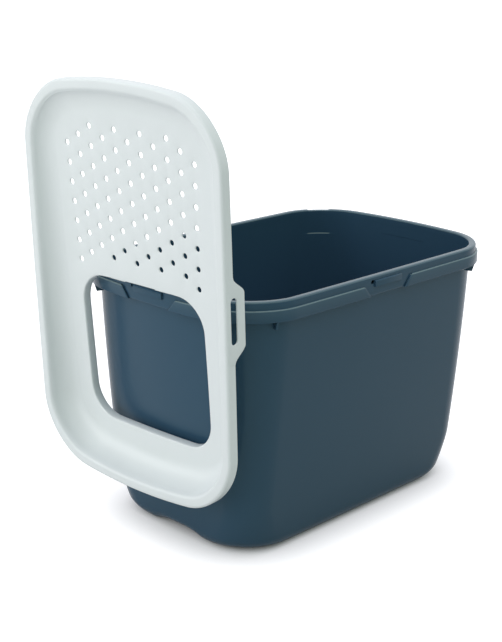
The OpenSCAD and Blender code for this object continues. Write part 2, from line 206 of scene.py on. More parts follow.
class Skin:
    """The vertices and faces of one mesh, in millimetres, collected ring by ring."""

    def __init__(self) -> None:
        self.points: list[Point3] = []
        self.faces: list[tuple[int, ...]] = []

    def add(self, points: Iterable[Point3]) -> list[int]:
        """Returns the indices of points that are added."""
        first = len(self.points)
        self.points.extend(tuple(p) for p in points)
        return list(range(first, len(self.points)))

    def bridge(self, a: Sequence[int], b: Sequence[int], closed: bool) -> None:
        """Joins two rows of the same length with faces."""
        n = len(a)
        for i in range(n if closed else n - 1):
            j = (i + 1) % n
            self.faces.append((a[i], a[j], b[j], b[i]))

    def loft(self, rings: Sequence[Sequence[Point3]]) -> list[list[int]]:
        """Adds closed rings of one length, joins each with the next and returns their indices."""
        rows = [self.add(r) for r in rings]
        for a, b in zip(rows, rows[1:]):
            self.bridge(a, b, True)
        return rows

    def bar(self, lines: Sequence[Sequence[Point3]]) -> None:
        """Adds a bar with closed ends, given as the lines of points that run along it."""
        rows = [self.add(line) for line in lines]
        for a, b in zip(rows, rows[1:] + rows[:1]):
            self.bridge(a, b, False)
        self.faces += [tuple(row[end] for row in rows) for end in (0, -1)]

    def fill(self, loops: Sequence[Sequence[int]], z: float = 0.0, flip: bool = False) -> None:
        """Fills a flat region, seen along Z, with triangles between its loops.

        Args:
            loops: The indices of the outer loop and then of each hole's.
            z: The height of a point that the filling adds, if it adds any.
            flip: Whether the faces point down.
        """
        index = [i for loop in loops for i in loop]
        flat = [Vector(self.points[i][:2]) for i in index]
        edges, first = [], 0
        for loop in loops:
            n = len(loop)
            edges += [(first + k, first + (k + 1) % n) for k in range(n)]
            first += n
        found, _, faces, origin, _, _ = delaunay_2d_cdt(flat, edges, [], 2, 1e-7)
        holes = [[self.points[i][:2] for i in loop] for loop in loops[1:]]
        place = [index[source[0]] if source else self.add([(p[0], p[1], z)])[0]
                 for p, source in zip(found, origin)]
        for f in faces:
            middle = sum((found[k] for k in f), Vector((0, 0))) / len(f)
            if any(inside(hole, middle) for hole in holes):
                continue
            ids = [place[k] for k in f]
            if (signed_area([self.points[i] for i in ids]) < 0) != flip:
                ids.reverse()
            self.faces.append(tuple(ids))

    def turned(self, matrix: Matrix) -> "Skin":
        """Returns a copy with its points moved by a matrix."""
        copy = Skin()
        copy.points = [tuple(matrix @ Vector(p)) for p in self.points]
        copy.faces = list(self.faces)
        return copy

    def join(self, other: "Skin") -> None:
        """Adds another skin's points and faces."""
        first = len(self.points)
        self.points += other.points
        self.faces += [tuple(i + first for i in f) for f in other.faces]

    def mesh(self, name: str) -> bpy.types.Mesh:
        """Returns the mesh in metres, its doubles merged and its faces pointing outwards."""
        mesh = bpy.data.meshes.new(name)
        mesh.from_pydata([Vector(p) * MM for p in self.points], [], self.faces)
        work = bmesh.new()
        work.from_mesh(mesh)
        bmesh.ops.remove_doubles(work, verts=work.verts, dist=MERGE * MM)
        bmesh.ops.dissolve_degenerate(work, edges=work.edges, dist=1e-7)
        bmesh.ops.recalc_face_normals(work, faces=work.faces)
        work.to_mesh(mesh)
        work.free()
        return mesh


def signed_area(points: Sequence[Sequence[float]]) -> float:
    """Returns the area inside a loop seen along Z, above zero if counter-clockwise."""
    n = len(points)
    return sum(points[i][0] * points[(i + 1) % n][1] - points[(i + 1) % n][0] * points[i][1]
               for i in range(n)) / 2


def inside(loop: Sequence[Point2], p: Sequence[float]) -> bool:
    """Returns whether a point is inside a loop."""
    found = False
    n = len(loop)
    for i in range(n):
        (x1, y1), (x2, y2) = loop[i], loop[(i + 1) % n]
        if (y1 > p[1]) != (y2 > p[1]) and p[0] < (x2 - x1) * (p[1] - y1) / (y2 - y1) + x1:
            found = not found
    return found


def offset_loop(loop: Sequence[Point2], by: float) -> list[Point2]:
    """Moves a counter-clockwise loop inwards by a distance, point by point."""
    moved = []
    n = len(loop)
    for i in range(n):
        a, b, c = Vector(loop[i - 1]), Vector(loop[i]), Vector(loop[(i + 1) % n])
        before, after = (b - a).normalized(), (c - b).normalized()
        left = Vector((-before.y - after.y, before.x + after.x))
        if left.length < 1e-9:
            left = Vector((-before.y, before.x))
        left.normalize()
        across = Vector((-before.y, before.x))
        reach = by / max(left.dot(across), LEAST_MITRE)
        moved.append((b.x + left.x * reach, b.y + left.y * reach))
    return moved


def plate(outer: Sequence[Point2], holes: Sequence[Sequence[Point2]], thickness: float,
          edge: float) -> Skin:
    """A flat plate with rounded edges, from Z = 0 up to its thickness.

    Args:
        outer: Its outline, counter-clockwise.
        holes: The outlines of its holes, counter-clockwise.
        thickness: Its thickness.
        edge: The radius of every edge.

    Returns:
        The closed skin.
    """
    skin = Skin()
    low, high = [], []
    levels = [(i, z) for z, i in rounding(edge, EDGE_DEGREES)]
    levels += [(i, thickness - z) for i, z in reversed(levels)]
    for loop, sign in [(outer, 1)] + [(h, -1) for h in holes]:
        rows = skin.loft([[(x, y, z) for x, y in offset_loop(loop, sign * i)] for i, z in levels])
        low.append(rows[0])
        high.append(rows[-1])
    skin.fill(low, flip=True)
    skin.fill(high)
    return skin


def quarter_turns(count: int) -> Matrix:
    """Returns the turn about Z by a number of right angles."""
    return Matrix.Rotation(math.radians(90 * count), 4, "Z")


def new_object(name: str, data: bpy.types.ID) -> bpy.types.Object:
    """Returns a new object, linked to the scene."""
    made = bpy.data.objects.new(name, data)
    bpy.context.scene.collection.objects.link(made)
    return made


class NodeTree:
    """Adds nodes to a node tree and links them."""

    def __init__(self, tree: bpy.types.NodeTree) -> None:
        self.tree = tree

    @classmethod
    def group(cls, name: str, kind: str, inputs: dict[str, str | float],
              outputs: dict[str, str]) -> "NodeTree":
        """Makes a node group.

        Args:
            name: The group's name.
            kind: Its type of tree.
            inputs: The kind of each input's socket, or the value that a number starts with.
            outputs: The kind of each output's socket.

        Returns:
            The group, without nodes.
        """
        tree = bpy.data.node_groups.new(name, kind)
        for way, sockets in (("INPUT", inputs), ("OUTPUT", outputs)):
            for label, value in sockets.items():
                sort = value if isinstance(value, str) else "Float"
                socket = tree.interface.new_socket(label, in_out=way,
                                                   socket_type="NodeSocket" + sort)
                if sort != value:
                    socket.default_value = value
        return cls(tree)

    @classmethod
    def emptied(cls, owner: bpy.types.Material | bpy.types.World) -> "NodeTree":
        """Returns the tree of a material or a world, in use and without nodes."""
        owner.use_nodes = True
        owner.node_tree.nodes.clear()
        return cls(owner.node_tree)

    def add(self, kind: str, inputs: dict[str | int, object] | None = None,
            **settings: object) -> bpy.types.Node:
        """Adds a node.

        Args:
            kind: The node's type name.
            inputs: What each input gets: another node's output, or a value.
            settings: Values of the node's own properties.

        Returns:
            The node.
        """
        node = self.tree.nodes.new(kind)
        for name, value in settings.items():
            setattr(node, name, value)
        for name, value in (inputs or {}).items():
            if isinstance(value, bpy.types.NodeSocket):
                self.tree.links.new(value, node.inputs[name])
            else:
                node.inputs[name].default_value = value
        return node

    def math(self, operation: str, *values: object) -> bpy.types.NodeSocket:
        """Returns the output of a Math node with these inputs."""
        return self.add("ShaderNodeMath", dict(enumerate(values)), operation=operation).outputs[0]

    def mix(self, factor: object, a: object, b: object) -> bpy.types.NodeSocket:
        """Returns the colour at a share of the way from a to b, each a colour or a socket."""
        node = self.add("ShaderNodeMix", {"Factor": factor}, data_type="RGBA")
        for socket in node.inputs:
            if socket.type == "RGBA":
                value = a if socket.name == "A" else b
                if isinstance(value, bpy.types.NodeSocket):
                    self.tree.links.new(value, socket)
                else:
                    socket.default_value = (*value, 1.0)
        return [socket for socket in node.outputs if socket.type == "RGBA"][0]

    def noise(self, place: object, scale: object, detail: float,
              roughness: float = 0.5) -> bpy.types.NodeSocket:
        """Returns the value of a noise texture."""
        return self.add("ShaderNodeTexNoise", {"Vector": place, "Scale": scale, "Detail": detail,
                                               "Roughness": roughness}).outputs["Fac"]

    def stamp(self, points: bpy.types.NodeSocket, given: bpy.types.NodeOutputs,
              turn: bpy.types.NodeSocket | None = None) -> None:
        """Ends a geometry tree with a stamp on each point, made real and given its finish.

        Args:
            points: The points.
            given: The tree's own inputs, with Stamp and Finish.
            turn: The rotation at each point, if there is any.
        """
        shape = self.add("GeometryNodeObjectInfo", {"Object": given["Stamp"]}).outputs["Geometry"]
        turned = {"Rotation": turn} if turn else {}
        placed = self.add("GeometryNodeInstanceOnPoints",
                          {"Points": points, "Instance": shape, **turned}).outputs[0]
        real = self.add("GeometryNodeRealizeInstances", {"Geometry": placed}).outputs[0]
        done = self.add("GeometryNodeSetMaterial", {"Geometry": real, "Material": given["Finish"]})
        self.add("NodeGroupOutput", {"Geometry": done.outputs[0]})


@dataclass(frozen=True)
class MouldedSurface:
    """The shader node group that both plastics share: a fine spark-eroded grain, faint
    flow marks in the colour, painted highlights along edges that an attribute marks, and handling
    scuffs in the roughness."""

    name: str = "moulded_surface"
    cloud_scale: float = 7.0
    cloud_share: float = 0.55
    streak_scale: Point3 = (22.0, 22.0, 3.5)
    flow_from: float = 0.35
    flow_most: float = 0.5
    scuff_turn: Point3 = (0.3, 0.5, 0.9)
    scuff_scale: Point3 = (900.0, 30.0, 60.0)
    scuff_from: float = 0.68
    grain_depth: float = 0.0002

    def group(self) -> bpy.types.NodeTree:
        """Returns the group, which is built once."""
        found = bpy.data.node_groups.get(self.name)
        if found:
            return found
        net = NodeTree.group(
            self.name, "ShaderNodeTree",
            {"Color": "Color", "Shade Color": "Color", "Edge Highlight Color": "Color", "Mottle": 0.3,
             "Roughness": 0.4, "Roughness Spread": 0.1, "Grain Scale": 1500.0,
             "Grain Height": 0.1, "Scuffs": 0.1},
            {"Color": "Color", "Roughness": "Float", "Normal": "Vector"})
        given = net.add("NodeGroupInput").outputs
        place = net.add("ShaderNodeTexCoord").outputs["Object"]
        clouds = net.math("MULTIPLY", net.noise(place, self.cloud_scale, 3.0, 0.55),
                          self.cloud_share)
        streaked = net.add("ShaderNodeMapping", {"Vector": place, "Scale": self.streak_scale})
        flow = net.math("MULTIPLY_ADD", net.noise(streaked.outputs[0], 1.0, 4.0, 0.6),
                        1 - self.cloud_share, clouds)
        shade = net.math("SMOOTH_MIN", net.math("SUBTRACT", flow, self.flow_from),
                         self.flow_most, 0.1)
        plain = net.mix(net.math("MULTIPLY", shade, given["Mottle"]), given["Color"],
                        given["Shade Color"])
        # Painted highlight: the attribute's mask lightens the colour towards the edge colour along
        # the marked edges.
        edge_highlight = net.add("ShaderNodeAttribute", attribute_name=EDGE_ATTRIBUTE).outputs["Fac"]
        scratched = net.add("ShaderNodeMapping", {
            "Vector": place, "Rotation": self.scuff_turn, "Scale": self.scuff_scale})
        lines = net.math("SUBTRACT", net.noise(scratched.outputs[0], 1.0, 1.0), self.scuff_from)
        scuffs = net.math("MULTIPLY", net.math("MAXIMUM", lines, 0.0), given["Scuffs"])
        spread = net.math("MULTIPLY", net.math("SUBTRACT", flow, 0.5), given["Roughness Spread"])
        rough = net.math("ADD", net.math("ADD", given["Roughness"], spread), scuffs)
        bump = net.add("ShaderNodeBump", {
            "Strength": given["Grain Height"], "Distance": self.grain_depth,
            "Height": net.noise(place, given["Grain Scale"], 2.0)})
        net.add("NodeGroupOutput", {"Color": net.mix(edge_highlight, plain, given["Edge Highlight Color"]),
                                    "Roughness": rough, "Normal": bump.outputs[0]})
        return net.tree


@dataclass(frozen=True)
class Plastic:
    """A moulded plastic finish."""

    name: str
    color: Point3
    shade: Point3
    mottle: float
    roughness: float
    spread: float
    grain_scale: float
    grain_height: float
    scuffs: float
    specular: float = 0.5
    gloss_tint: Point3 = (1.0, 1.0, 1.0)
    # The colour of the painted edge highlight, laid where the edge attribute marks the surface.
    edge_highlight: Point3 = (0.8, 0.8, 0.8)

    def material(self) -> bpy.types.Material:
        """Returns the finish's material, which is built once."""
        found = bpy.data.materials.get(self.name)
        if found:
            return found
        material = bpy.data.materials.new(self.name)
        net = NodeTree.emptied(material)
        surface = net.add("ShaderNodeGroup", {
            "Color": (*self.color, 1.0), "Shade Color": (*self.shade, 1.0),
            "Edge Highlight Color": (*self.edge_highlight, 1.0), "Mottle": self.mottle, "Roughness": self.roughness,
            "Roughness Spread": self.spread, "Grain Scale": self.grain_scale,
            "Grain Height": self.grain_height, "Scuffs": self.scuffs,
        }, node_tree=MouldedSurface().group()).outputs
        shader = net.add("ShaderNodeBsdfPrincipled", {
            "Base Color": surface["Color"], "Roughness": surface["Roughness"],
            "Normal": surface["Normal"], "Specular IOR Level": self.specular,
            "Specular Tint": (*self.gloss_tint, 1.0)})
        net.add("ShaderNodeOutputMaterial", {"Surface": shader.outputs[0]})
        material.diffuse_color = (*self.color, 1.0)
        return material


# The slate plastic's last colour is the painted highlight on the bin's rim edges and ledge.
SLATE = Plastic("slate_plastic", color=(0.029, 0.069, 0.113), shade=(0.026, 0.062, 0.103),
                mottle=0.5, roughness=0.20, spread=0.06, grain_scale=1700.0, grain_height=0.12,
                scuffs=0.3, specular=0.22, gloss_tint=(0.70, 1.0, 0.80),
                edge_highlight=(0.15, 0.215, 0.235))
WHITE = Plastic("white_plastic", color=(0.70, 0.745, 0.735), shade=(0.675, 0.725, 0.71),
                mottle=0.4, roughness=0.34, spread=0.08, grain_scale=1500.0, grain_height=0.10,
                scuffs=0.2)


def finish_piece(name: str, mesh: bpy.types.Mesh, finish: Plastic, body: Body,
                 replaced: str) -> bpy.types.Object:
    """Makes a piece of its finished mesh.

    Args:
        name: The piece's name.
        mesh: Its mesh, in the row frame.
        finish: Its plastic.
        body: The body that it rides on.
        replaced: The CAD node that it stands for.

    Returns:
        The piece.
    """
    piece = new_object(name, mesh)
    mesh.materials.append(finish.material())
    mesh.polygons.foreach_set("use_smooth", [True] * len(mesh.polygons))
    mesh.set_sharp_from_angle(angle=math.radians(SHARP_FROM))
    mesh.update()
    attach(piece, body.value)
    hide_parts(replaced)
    LOG.info("%s: %d faces", name, len(mesh.polygons))
    return piece


def evaluated(carrier: bpy.types.Object, *used: bpy.types.Object) -> Skin:
    """Takes the mesh that an object's modifiers make, and removes the object.

    Args:
        carrier: The object.
        used: Other objects that its modifiers read, which are removed too.

    Returns:
        The mesh as a skin in millimetres.
    """
    graph = bpy.context.evaluated_depsgraph_get()
    mesh = bpy.data.meshes.new_from_object(carrier.evaluated_get(graph), depsgraph=graph)
    for each in (carrier, *used):
        bpy.data.objects.remove(each)
    skin = Skin()
    skin.points = [tuple(v.co / MM) for v in mesh.vertices]
    skin.faces = [tuple(p.vertices) for p in mesh.polygons]
    return skin


def carved(skin: Skin, cutters: Sequence[Skin]) -> Skin:
    """Returns a skin with other closed skins cut out of it."""
    whole = new_object("whole", skin.mesh("whole"))
    tools = [new_object("cutter", cutter.mesh("cutter")) for cutter in cutters]
    for tool in tools:
        cut = whole.modifiers.new("cut", "BOOLEAN")
        cut.operation, cut.solver, cut.object = "DIFFERENCE", "EXACT", tool
    return evaluated(whole, *tools)


def stamped(skin: Skin, points: bpy.types.Mesh, tree: bpy.types.NodeTree,
            finish: Plastic) -> Skin:
    """Sets copies of a skin with a Geometry Nodes tree.

    Args:
        skin: What is copied: the tree's input Stamp.
        points: The mesh that goes into the tree.
        tree: The tree.
        finish: The copies' plastic: the tree's input Finish.

    Returns:
        All the copies.
    """
    stamp = bpy.data.objects.new("stamp", skin.mesh("stamp"))
    values = {"Stamp": stamp, "Finish": finish.material()}
    carrier = new_object("carrier", points)
    modifier = carrier.modifiers.new("nodes", "NODES")
    modifier.node_group = tree
    for item in tree.interface.items_tree:
        if item.item_type == "SOCKET" and item.in_out == "INPUT" and item.name in values:
            modifier[item.identifier] = values[item.name]
    return evaluated(carrier, stamp)


@dataclass
class RimSizes:
    """Sizes that the bin and its lid share."""

    width: float = 390.0
    length: float = 588.0
    radius: float = 88.0
    end_bow: float = 21.0
    side_bow: float = 2.0
    clip_length: float = 70.0
    clip_flare: float = 24.0
    clip_depth: float = 36.0
    lid_skirt: float = 16.0

    @property
    def clip_reach(self) -> float:
        """Half the length of a clip at its root."""
        return self.clip_length / 2 + self.clip_flare

    def outline(self) -> Outline:
        """Returns the outline over the rim."""
        return Outline(self.width, self.length, self.radius, self.end_bow, self.side_bow)

    def clip_half(self, depth: float, grow: float = 0.0) -> float:
        """Half the clip's length at a depth below the lid's lip, grown by a clearance."""
        drop = self.clip_depth - self.lid_skirt
        t = min(max((depth - self.lid_skirt) / drop, 0.0), 1.0)
        return self.clip_length / 2 + grow + self.clip_flare * (1 - math.acos(1 - 2 * t) / math.pi)


@dataclass
class BinMoulding:
    """The bin: tub, hollow collar, skirt with its gussets, and catch blocks."""

    rim: RimSizes = field(default_factory=RimSizes)
    height: float = 394.0
    wall: float = 2.6
    foot_width: float = 257.0
    foot_length: float = 446.0
    foot_radius: float = 82.0
    foot_bow: float = 3.0
    foot_band: float = 12.0
    foot_recess: float = 1.6
    heel_radius: float = 24.0
    waist_radius: float = 45.0
    waist_z: float = 76.0
    bulge: float = 2.4
    arch_width: float = 112.0
    arch_rise: float = 8.0
    arch_in: float = 26.0
    collar_height: float = 11.5
    collar_width: float = 11.0
    collar_radius: float = 3.0
    inner_radius: float = 2.5
    shelf: float = 3.2
    shelf_radius: float = 1.8
    rim_wall: float = 2.4
    skirt_height: float = 17.5
    skirt_soft: float = 1.4
    catch_out: float = 2.8
    catch_length: float = 60.0
    catch_height: float = 10.0
    catch_top: float = 388.0
    pocket: float = 8.0
    notch_gap: float = 1.5
    nook_at: float = 137.0
    nook_width: float = 38.0
    nook_height: float = 42.0
    nook_depth: float = 0.7
    nook_ease: float = 30.0
    nook_end: float = 4.0
    nook_dip: float = 1.2
    ledge_rise: float = 1.2
    # How strongly the highlight is painted along the collar's top.
    collar_highlight: float = 0.4
    gusset_drop: float = 12.0
    gusset_out: float = 10.0
    gusset_width: float = 3.0

    @property
    def shelf_z(self) -> float:
        """Height of the shelf."""
        return self.height - self.collar_height

    @property
    def skirt_z(self) -> float:
        """Height of the skirt's lower edge."""
        return self.shelf_z - self.skirt_height

    @property
    def rim_in(self) -> float:
        """Distance from the rim's edge to the inside of the bin at the top."""
        return self.shelf + self.collar_width

    @property
    def tub_in(self) -> float:
        """Distance from the rim's edge to the tub's outer face at the top."""
        return self.rim_in - self.wall

    @property
    def draft(self) -> float:
        """Lean of the long walls, in radians."""
        top = self.rim.width / 2 - self.tub_in
        return math.atan((top - self.foot_width / 2 - self.heel_radius)
                         / (self.shelf_z - self.heel_radius))

    @property
    def ledge_z(self) -> float:
        """Height of the lower end of the corner recess."""
        return self.height - self.nook_height

    def corner_radius(self, z: float) -> float:
        """Returns the plan radius of the tub's corners at a height."""
        radius = lerp(self.waist_radius, self.rim.radius - self.tub_in, z / self.shelf_z)
        low = max(1 - z / self.waist_z, 0.0) ** 1.4
        return radius + (self.foot_radius - self.waist_radius) * low

    def tub_ring(self, grow: float, z: float, share: float, thin: float,
                 lift: float) -> list[Point3]:
        """A ring of the tub, as in the part's source.

        Args:
            grow: How far it stands outside the underside's outline.
            z: Its height.
            share: Its share of the way from the heel to the shelf.
            thin: How far it is moved in from the outer skin.
            lift: The weight of the finger arch's rise there.

        Returns:
            The ring's points.
        """
        out = grow - share * self.heel_radius * math.cos(self.draft) - thin
        out += 4 * self.bulge * share * (1 - share)
        width = lerp(self.foot_width, self.rim.width - 2 * self.tub_in, share) + 2 * out
        length = lerp(self.foot_length, self.rim.length - 2 * self.tub_in, share) + 2 * out
        outline = Outline(width, length, self.corner_radius(z) - thin,
                          lerp(self.foot_bow, self.rim.end_bow, share),
                          self.rim.side_bow * (1 + share) / 2)
        return [(x, y, z + self.arch_lift(x, y, lift)) for x, y in outline.points()]

    def arch_lift(self, x: float, y: float, weight: float) -> float:
        """Returns the rise of the finger arch over a point of the underside."""
        s = abs(x) / (self.arch_width / 2)
        if s >= 1 or weight == 0 or abs(y) < self.foot_length / 2 - self.arch_in - 1:
            return 0.0
        return self.arch_rise * weight * (1 - s ** 4) ** 2

    def heel_ring(self, angle: float, thin: float) -> list[Point3]:
        """Returns a ring of the heel at an angle from straight down."""
        r = self.heel_radius - thin
        return self.tub_ring(r * math.sin(angle), self.heel_radius - r * math.cos(angle), 0, 0,
                             max(math.cos(angle), 0.0) ** 0.7)

    def wall_ring(self, z: float, thin: float) -> list[Point3]:
        """Returns a ring of the drafted wall at a height."""
        top = self.heel_radius * (1 - math.sin(self.draft))
        return self.tub_ring(self.heel_radius * math.cos(self.draft), z,
                             (z - top) / (self.shelf_z - top), thin, 0)

    def rim_ring(self, inset: float, z: float) -> list[Point3]:
        """Returns a ring of the rim, at a distance in from its edge."""
        return [(x, y, z) for x, y in self.rim.outline().inset(inset).points()]

    def reach(self, turn: int) -> float:
        """Returns how far the collar stands out at a side, in quarter turns from +X."""
        return (self.rim.length if turn % 2 else self.rim.width) / 2 - self.shelf

    def nook_weight(self, x: float, y: float, ease: float) -> float:
        """Returns how much of the corner recess acts at a point: 1 in it and 0 outside."""
        rim = self.rim.outline()
        a = math.radians(self.nook_at)
        (cx, cy), c, s = rim.corner_point(a), math.cos(a), math.sin(a)
        if (x - cx) * c + (y - cy) * s < -rim.radius:
            return 0.0
        along = (y - cy) * c - (x - cx) * s
        return smooth_step((self.nook_width / 2 + ease / 2 - abs(along)) / ease)

    def recessed(self, ring: list[Point3], depth: float, dip: float) -> list[Point3]:
        """Moves a ring's points out by a depth, and down by a dip, where the corner recess is."""
        a = math.radians(self.nook_at)
        moved = []
        for x, y, z in ring:
            out = depth * self.nook_weight(x, y, self.nook_ease)
            moved.append((x + math.cos(a) * out, y + math.sin(a) * out,
                          z - dip * self.nook_weight(x, y, self.nook_end)))
        return moved

    def gap_panels(self) -> Skin:
        """Returns the collar's outer wall in the gaps, down to the skirt's edge and in."""
        skin = Skin()
        low, top, t, face = self.skirt_z, self.shelf_z + 1, self.rim_wall, self.shelf
        section = [(self.tub_in + 3.6, low - 0.9), (face + 1.4, low + 0.3), (face + 0.5, low + 0.9),
                   (face + 0.1, low + 1.8), (face, low + 3.0), (face, self.shelf_z - 2),
                   (face + 0.1, top), (face + t, top), (face + t, low + 3.2),
                   (self.tub_in + 4.2, low + 1.6)]
        steps = 40
        for turn in range(4):
            lines = []
            for inset, z in section:
                o = self.rim.outline().inset(inset)
                half = self.notch_half(max(z, low)) + 1.0
                line = []
                for k in range(steps + 1):
                    v = lerp(-half, half, k / steps)
                    x, y = o.bowed(-v, o.length / 2) if turn % 2 else o.bowed(o.width / 2, v)
                    line.append((x, y, z) if turn < 2 else (-x, -y, z))
                lines.append(line)
            skin.bar(lines)
        return skin

    def foot(self) -> list[list[Point3]]:
        """Returns the rings of the recessed underside and of the band that it stands on."""
        band = self.foot_band
        return [self.tub_ring(-i, z, 0, 0, lift) for i, z, lift in (
            (self.arch_in, self.foot_recess, 0), (band + 2, self.foot_recess, 0),
            (band, 0.4, 0.55), (band - 1.5, 0, 0.75), (5, 0, 0.95))]

    def collar(self) -> list[list[Point3]]:
        """Returns the rings of the hollow under the collar, its outer face and its top."""
        under, face = self.height - self.rim_wall, self.shelf + self.rim_wall
        low = self.shelf_z - self.rim_wall
        rings = [self.rim_ring(i, z) for i, z in (
            (self.tub_in, under - 1.0), (self.tub_in - 1.0, under), (face + 1.0, under),
            (face, under - 1.0), (face, low + 0.5), (face - 0.5, low), (self.shelf + 0.5, low),
            (self.shelf, low + 0.5), (self.shelf, self.shelf_z + 1.0))]
        for i, down in rounding(self.collar_radius, range(0, 91, 15)):
            ring = self.rim_ring(self.shelf + i, self.height - down)
            rings.append(self.recessed(ring, 0, self.nook_dip * (1 - down / self.collar_radius)))
        for down, i in rounding(self.inner_radius, range(0, 91, 18)):
            share = (1 - i / self.inner_radius) ** 2
            ring = self.rim_ring(self.rim_in - i, self.height - down)
            rings.append(self.recessed(ring, self.nook_depth * share,
                                       self.nook_dip * (1 - 0.5 * share)))
        return rings

    def tub(self) -> Skin:
        """Returns the tub with its hollow collar: one closed skin."""
        skin = Skin()
        heel = [math.radians(a) for a in (0, 5, 10, 18, 26, 34, 42, 50, 58, 66, 74, 82)]
        heel.append(math.pi / 2 - self.draft)
        heel_top = self.heel_radius * (1 - math.sin(self.draft))
        ledge = self.ledge_z
        levels = [lerp(heel_top, self.waist_z, k / 7) for k in range(1, 8)]
        levels += [lerp(self.waist_z, self.shelf_z, k / 9) for k in range(1, 10)]
        outer = [self.heel_ring(a, 0) for a in heel] + [self.wall_ring(z, 0) for z in levels]
        inner = [self.recessed(self.wall_ring(z, self.wall), self.nook_depth, 0) for z in (
            self.shelf_z, self.shelf_z - 4, ledge + self.ledge_rise + 0.5, ledge + self.ledge_rise)]
        inner += [self.wall_ring(z, self.wall) for z in (ledge, ledge - 0.4, ledge - 2)]
        inner += [self.wall_ring(z, self.wall) for z in reversed(levels) if z < ledge - 5]
        inner += [self.heel_ring(a, self.wall) for a in reversed(heel)]
        inner.append(self.tub_ring(-self.arch_in, self.wall + self.foot_recess, 0, 0, 0))
        rows = skin.loft(self.foot() + outer + self.collar() + inner)
        skin.fill([rows[0]], flip=True)
        skin.fill([rows[-1]])
        return skin

    def skirt_profile(self) -> list[tuple[float, float, float, float]]:
        """The section of the shelf and skirt, from the collar out and down, and back up inside.

        Returns:
            The inset and height of each point, and the way in from the surface there.
        """
        top, low, t, r, face = (self.shelf_z, self.skirt_z, self.rim_wall, self.shelf_radius,
                                self.shelf)
        section = [(face + 1.2, top, 0, -1), (face + 0.1, top + 0.8, 0, -1),
                   (face - 0.2, top + 0.25, 0, -1), (face - 0.7, top, 0, -1)]
        section += [(i, top - down, 1 - i / r, down / r - 1)
                    for i, down in rounding(r, range(90, -1, -18))]
        section += [(0, low + 1.0, 1, 0), (0.2, low + 0.4, 1, 0), (0.7, low, 0.7, 0.7),
                    (t - 0.7, low, 0, 1)]
        return section + [(i, z, 0, 0) for i, z in (
            (t - 0.2, low + 0.4), (t, low + 1.0), (t, top - t - 1.0), (t + 0.8, top - t),
            (face + 1.2, top - t))]

    def notch_half(self, z: float) -> float:
        """Returns half the width of the gap in the skirt at a height."""
        closed = self.shelf_z + 0.5 + self.rim.lid_skirt
        return self.rim.clip_half(closed - z, self.notch_gap)

    def skirt_line(self, inset: float, z: float, way: Point2) -> list[Point3]:
        """One line along a stretch of skirt, in the first quadrant, eased in at its ends.

        Args:
            inset: Its distance in from the rim's edge.
            z: Its height.
            way: The way in from the surface, as inset and height.

        Returns:
            The line's points.
        """
        rim = self.rim.outline()
        starts, ends = [], []
        for share in (0.0, 0.3, 0.6):
            shift, by = rounding(self.skirt_soft, [90 * share])[0]
            half = self.notch_half(z) + shift
            line = rim.inset(inset + way[0] * by).quarter(half, half)
            starts.append((*line[0], z + way[1] * by))
            ends.append((*line[-1], z + way[1] * by))
        half = self.notch_half(z) + self.skirt_soft
        body = [(x, y, z) for x, y in rim.inset(inset).quarter(half, half)]
        return starts + body + ends[::-1]

    def skirt(self) -> Skin:
        """Returns the four closed stretches of shelf and skirt between the catches."""
        skin = Skin()
        lines = [self.skirt_line(i, z, (a, b)) for i, z, a, b in self.skirt_profile()]
        for mx, my in QUADRANTS:
            skin.bar([[(mx * x, my * y, z) for x, y, z in line] for line in lines])
            skin.join(self.returns(mx, my))
        return skin

    def returns(self, mx: int, my: int) -> Skin:
        """Returns the walls that close the two ends of one stretch of skirt against the tub."""
        skin = Skin()
        rim, t = self.rim.outline(), self.rim_wall
        levels = [lerp(self.skirt_z + 0.3, self.shelf_z - 0.8, k / 10) for k in range(11)]
        near, far = 0.9, self.tub_in + 2.0
        for side in (0, -1):
            lines = []
            for inset, shift in ((near, 0.25), (far, 0.25), (far, t), (near, t)):
                line = []
                for z in levels:
                    half = self.notch_half(z) + shift
                    x, y = rim.inset(inset).quarter(half, half)[side]
                    line.append((mx * x, my * y, z))
                lines.append(line)
            skin.bar(lines)
        return skin

    def catch(self, reach: float) -> Skin:
        """Returns a catch block at the middle of the +X side, its collar at this reach."""
        lead, face, root = self.catch_out / 2, reach + self.catch_out, reach - 1.6
        bottom, top = self.catch_top - self.catch_height, self.catch_top
        profile = [(root, bottom), (reach, bottom), (face, bottom + lead / 2), (face, top - lead),
                   (face - lead, top), (root, top)]
        block = plate(profile, [], self.catch_length, 0.6)
        # The plate is drawn in X and Z, and its thickness runs along -Y.
        return block.turned(Matrix.Translation((0, self.catch_length / 2, 0))
                            @ Matrix.Rotation(math.pi / 2, 4, "X"))

    def gussets(self) -> Skin:
        """Returns the ribs that brace the skirt, two to a corner, set by a node tree."""
        low, top = self.skirt_z - self.gusset_drop, self.shelf_z - self.rim_wall / 2
        reach, root = self.tub_in + 0.8, self.rim_wall / 2
        low_reach = reach + (self.shelf_z - low) * math.tan(self.draft)
        profile = [(-low_reach, low), (-low_reach + self.gusset_out, low),
                   (-root, self.skirt_z + 0.5), (-root, top), (-reach, top)]
        rib = plate(profile, [], self.gusset_width, 0.5).turned(
            Matrix.Rotation(math.pi / 2, 4, "X")
            @ Matrix.Translation((0, 0, -self.gusset_width / 2)))
        angles = [math.radians(22.5 + 45 * k) for k in range(8)]
        points = bpy.data.meshes.new("gusset_places")
        points.from_pydata([(x * MM, y * MM, 0.0)
                            for x, y in map(self.rim.outline().corner_point, angles)], [], [])
        points.attributes.new("heading", "FLOAT", "POINT").data.foreach_set("value", angles)
        return stamped(rib, points, stamping_tree(), SLATE)

